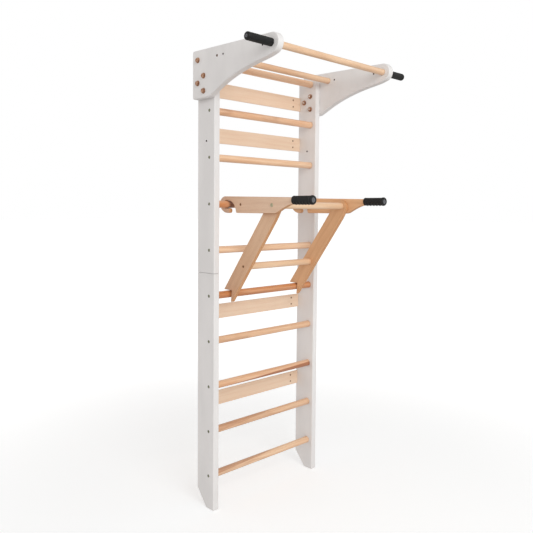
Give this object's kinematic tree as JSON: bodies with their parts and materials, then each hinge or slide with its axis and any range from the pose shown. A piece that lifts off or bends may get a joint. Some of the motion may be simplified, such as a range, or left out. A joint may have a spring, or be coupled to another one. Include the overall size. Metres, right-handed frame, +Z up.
{
  "type": "wall bars with pull-up bracket and dip station",
  "caption": "Wall-mounted wooden climbing ladder with round rungs, a top pull-up bracket with side grips, and a hook-on dip station hung on one rung and braced against a lower one.",
  "frame": {"origin": "on the floor, at the bottom centre of the bounding box: midway between the two uprights and 294.65 mm in front of the wall plane", "axes": "+Z up, +Y into the wall so the user stands on the -Y side, +X to the right of a user facing the wall"},
  "size_m": [0.9826, 0.5892, 2],
  "materials": {
    "white_board": "satin white paint on board, rounded edges",
    "beech_rung": "clear-lacquered turned beech, colour varying from rung to rung",
    "beech_bar": "clear-lacquered turned beech",
    "pale_slat": "pale lacquered wood strip",
    "dark_screw": "dark phosphated screw",
    "steel_screw": "zinc-plated steel, hidden",
    "pivot_bolt": "dull plated steel",
    "bronzed_bolt": "brown bronzed steel",
    "beech_dowel": "plain beech dowel",
    "grip_rubber": "black ribbed rubber",
    "plywood": "lacquered birch plywood, layered edges",
    "beech_cross_bar": "clear-lacquered turned beech"
  },
  "bodies": {
    "wall_ladder": {"left_bracket": "white_board", "left_bracket_bolt_1": "bronzed_bolt", "left_bracket_bolt_2": "bronzed_bolt", "left_bracket_bolt_3": "bronzed_bolt", "left_bracket_bolt_4": "bronzed_bolt", "left_dowel_screw": "steel_screw", "left_joint_dowel_back": "beech_dowel", "left_joint_dowel_front": "beech_dowel", "left_rear_bar_screw": "dark_screw", "left_side_grip": "grip_rubber", "left_side_grip_core": "beech_dowel", "left_upright_lower": "white_board", "left_upright_upper": "white_board", "pull_up_bar": "beech_bar", "rear_bar": "beech_bar", "right_bracket": "white_board", "right_bracket_bolt_1": "bronzed_bolt", "right_bracket_bolt_2": "bronzed_bolt", "right_bracket_bolt_3": "bronzed_bolt", "right_bracket_bolt_4": "bronzed_bolt", "right_dowel_screw": "steel_screw", "right_joint_dowel_back": "beech_dowel", "right_joint_dowel_front": "beech_dowel", "right_rear_bar_screw": "dark_screw", "right_side_grip": "grip_rubber", "right_side_grip_core": "beech_dowel", "right_upright_lower": "white_board", "right_upright_upper": "white_board", "rung_01": "beech_rung", "rung_02": "beech_rung", "rung_03": "beech_rung", "rung_04": "beech_rung", "rung_05": "beech_rung", "rung_06": "beech_rung", "rung_07": "beech_rung", "rung_08": "beech_rung", "rung_09": "beech_rung", "rung_10": "beech_rung", "wall_slat_1": "pale_slat", "wall_slat_2": "pale_slat", "wall_slat_3": "pale_slat", "wall_slat_4": "pale_slat"},
    "dip_station": {"dip_front_cross_bar": "beech_cross_bar", "dip_lower_cross_bar": "beech_cross_bar", "dip_rear_cross_bar": "beech_cross_bar", "left_dip_arm": "plywood", "left_dip_arm_screw": "dark_screw", "left_dip_grip": "grip_rubber", "left_dip_pivot_bolt": "pivot_bolt", "left_dip_strut": "plywood", "left_dip_strut_screw": "dark_screw", "right_dip_arm": "plywood", "right_dip_arm_screw": "dark_screw", "right_dip_grip": "grip_rubber", "right_dip_pivot_bolt": "pivot_bolt", "right_dip_strut": "plywood", "right_dip_strut_screw": "dark_screw"}
  },
  "joints": [
    {"name": "dip_station_tilt", "type": "hinge", "parent": "wall_ladder", "child": "dip_station", "pos_m": [0, 0.21695, 1.346], "axis": [-1, 0, 0], "range_deg": [0, 72]}
  ]
}
